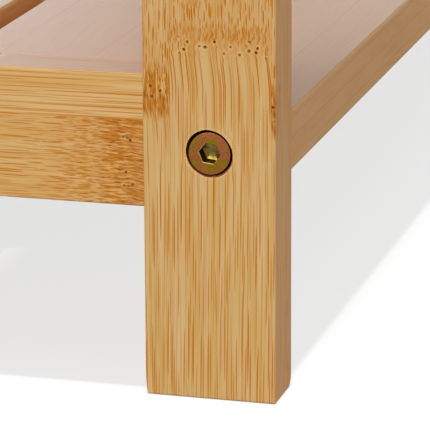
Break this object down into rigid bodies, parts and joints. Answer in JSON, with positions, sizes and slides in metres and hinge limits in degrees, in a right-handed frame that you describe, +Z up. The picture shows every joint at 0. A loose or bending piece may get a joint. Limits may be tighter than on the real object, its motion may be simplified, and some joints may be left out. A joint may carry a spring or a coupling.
{
  "type": "entryway bench",
  "caption": "Long low bamboo bench with a slatted seat over slatted shoe shelves, its end frames bolted through the legs.",
  "frame": {"origin": "on the floor, under the middle of the bench", "axes": "+X along the bench to the right end, +Y from the front to the back, +Z up"},
  "size_m": [0.9, 0.295, 0.45],
  "materials": {
    "bamboo_frame": "carbonised-blonde laminated bamboo, flat-grain strips, satin lacquer",
    "bamboo_board": "laminated bamboo boards, flat-grain strips, satin lacquer",
    "bolt_yellow_zinc": "yellow-passivated zinc plating with a pink and green sheen",
    "zinc_steel": "plain zinc plating",
    "beech_dowel": "raw beech"
  },
  "bodies": {
    "root": {"apron_dowels": "beech_dowel", "end_frame_dowels_left": "beech_dowel", "end_frame_dowels_right": "beech_dowel", "leg_left_back": "bamboo_frame", "leg_left_front": "bamboo_frame", "leg_right_back": "bamboo_frame", "leg_right_front": "bamboo_frame", "lower_barrel_nuts": "zinc_steel", "lower_bolt_left_back": "bolt_yellow_zinc", "lower_bolt_left_front": "bolt_yellow_zinc", "lower_bolt_right_back": "bolt_yellow_zinc", "lower_bolt_right_front": "bolt_yellow_zinc", "lower_end_rail_left": "bamboo_frame", "lower_end_rail_right": "bamboo_frame", "lower_shelf_batten_centre": "bamboo_board", "lower_shelf_batten_left": "bamboo_board", "lower_shelf_batten_right": "bamboo_board", "lower_shelf_board_back": "bamboo_board", "lower_shelf_board_front": "bamboo_board", "lower_shelf_board_middle": "bamboo_board", "lower_shelf_dowels": "beech_dowel", "lower_shelf_screws": "zinc_steel", "middle_barrel_nuts": "zinc_steel", "middle_bolt_left_back": "bolt_yellow_zinc", "middle_bolt_left_front": "bolt_yellow_zinc", "middle_bolt_right_back": "bolt_yellow_zinc", "middle_bolt_right_front": "bolt_yellow_zinc", "middle_end_rail_left": "bamboo_frame", "middle_end_rail_right": "bamboo_frame", "middle_shelf_batten_centre": "bamboo_board", "middle_shelf_batten_left": "bamboo_board", "middle_shelf_batten_right": "bamboo_board", "middle_shelf_board_back": "bamboo_board", "middle_shelf_board_front": "bamboo_board", "middle_shelf_board_middle": "bamboo_board", "middle_shelf_dowels": "beech_dowel", "middle_shelf_screws": "zinc_steel", "seat_apron_back": "bamboo_board", "seat_apron_front": "bamboo_board", "seat_batten_centre": "bamboo_board", "seat_batten_left": "bamboo_board", "seat_batten_right": "bamboo_board", "seat_board_back": "bamboo_board", "seat_board_front": "bamboo_board", "seat_board_middle": "bamboo_board", "seat_dowels": "beech_dowel", "seat_screws": "zinc_steel", "top_barrel_nuts": "zinc_steel", "top_bolt_left_back": "bolt_yellow_zinc", "top_bolt_left_front": "bolt_yellow_zinc", "top_bolt_right_back": "bolt_yellow_zinc", "top_bolt_right_front": "bolt_yellow_zinc", "top_end_rail_left": "bamboo_frame", "top_end_rail_right": "bamboo_frame"}
  },
  "joints": []
}
